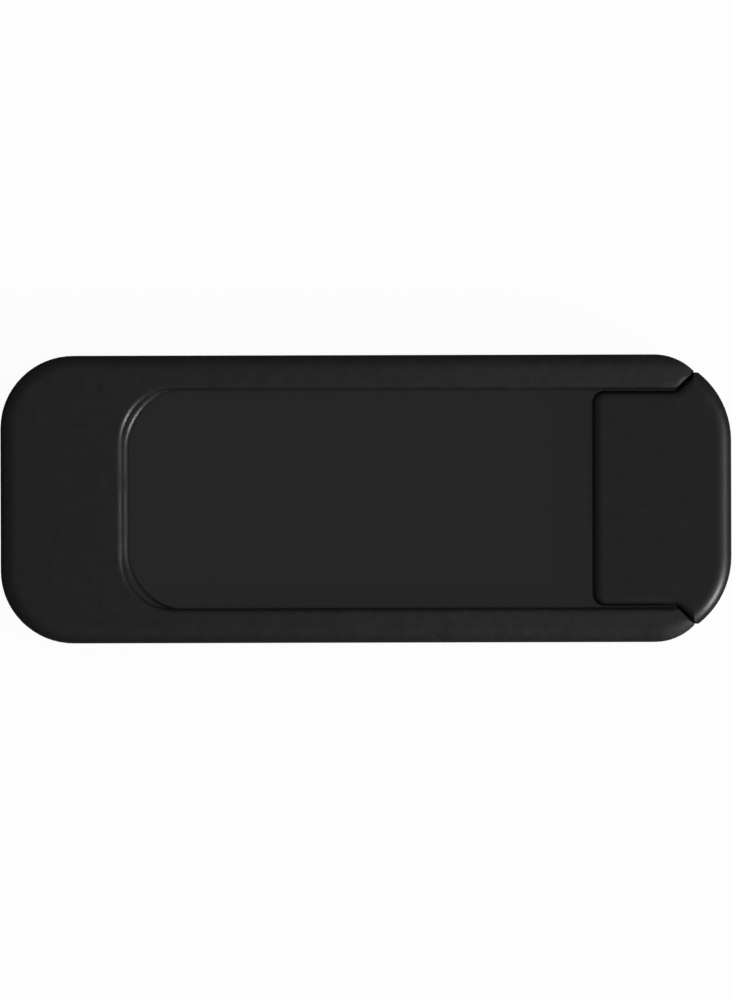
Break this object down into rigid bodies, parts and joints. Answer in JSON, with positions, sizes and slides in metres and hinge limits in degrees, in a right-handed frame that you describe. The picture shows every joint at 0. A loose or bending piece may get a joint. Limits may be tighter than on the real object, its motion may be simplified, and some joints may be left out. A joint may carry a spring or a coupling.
{
  "type": "webcam cover",
  "caption": "Flat sliding webcam cover: a U-shaped frame with grooved rails, and a shutter with a raised thumb pad that slides out of its mouth to uncover a lens window.",
  "frame": {"origin": "centre of the closed cover's outline, on the adhesive face", "axes": "+X along the slide, from the frame's closed end to the grip end; +Y across the rails; +Z out of the front face"},
  "size_m": [0.04, 0.0158, 0.0022],
  "materials": {
    "frame_plastic": "black ABS, fine spark-eroded satin",
    "slider_plastic": "black ABS, fine spark-eroded satin",
    "adhesive_tape": "dark grey acrylic tape"
  },
  "bodies": {
    "frame": {"slide_frame": "frame_plastic", "adhesive_pad": "adhesive_tape"},
    "slider": {"shutter_slider": "slider_plastic"}
  },
  "joints": [
    {"name": "shutter_slide", "type": "slide", "parent": "frame", "child": "slider", "axis": [1, 0, 0], "range_m": [0, 0.011]}
  ]
}
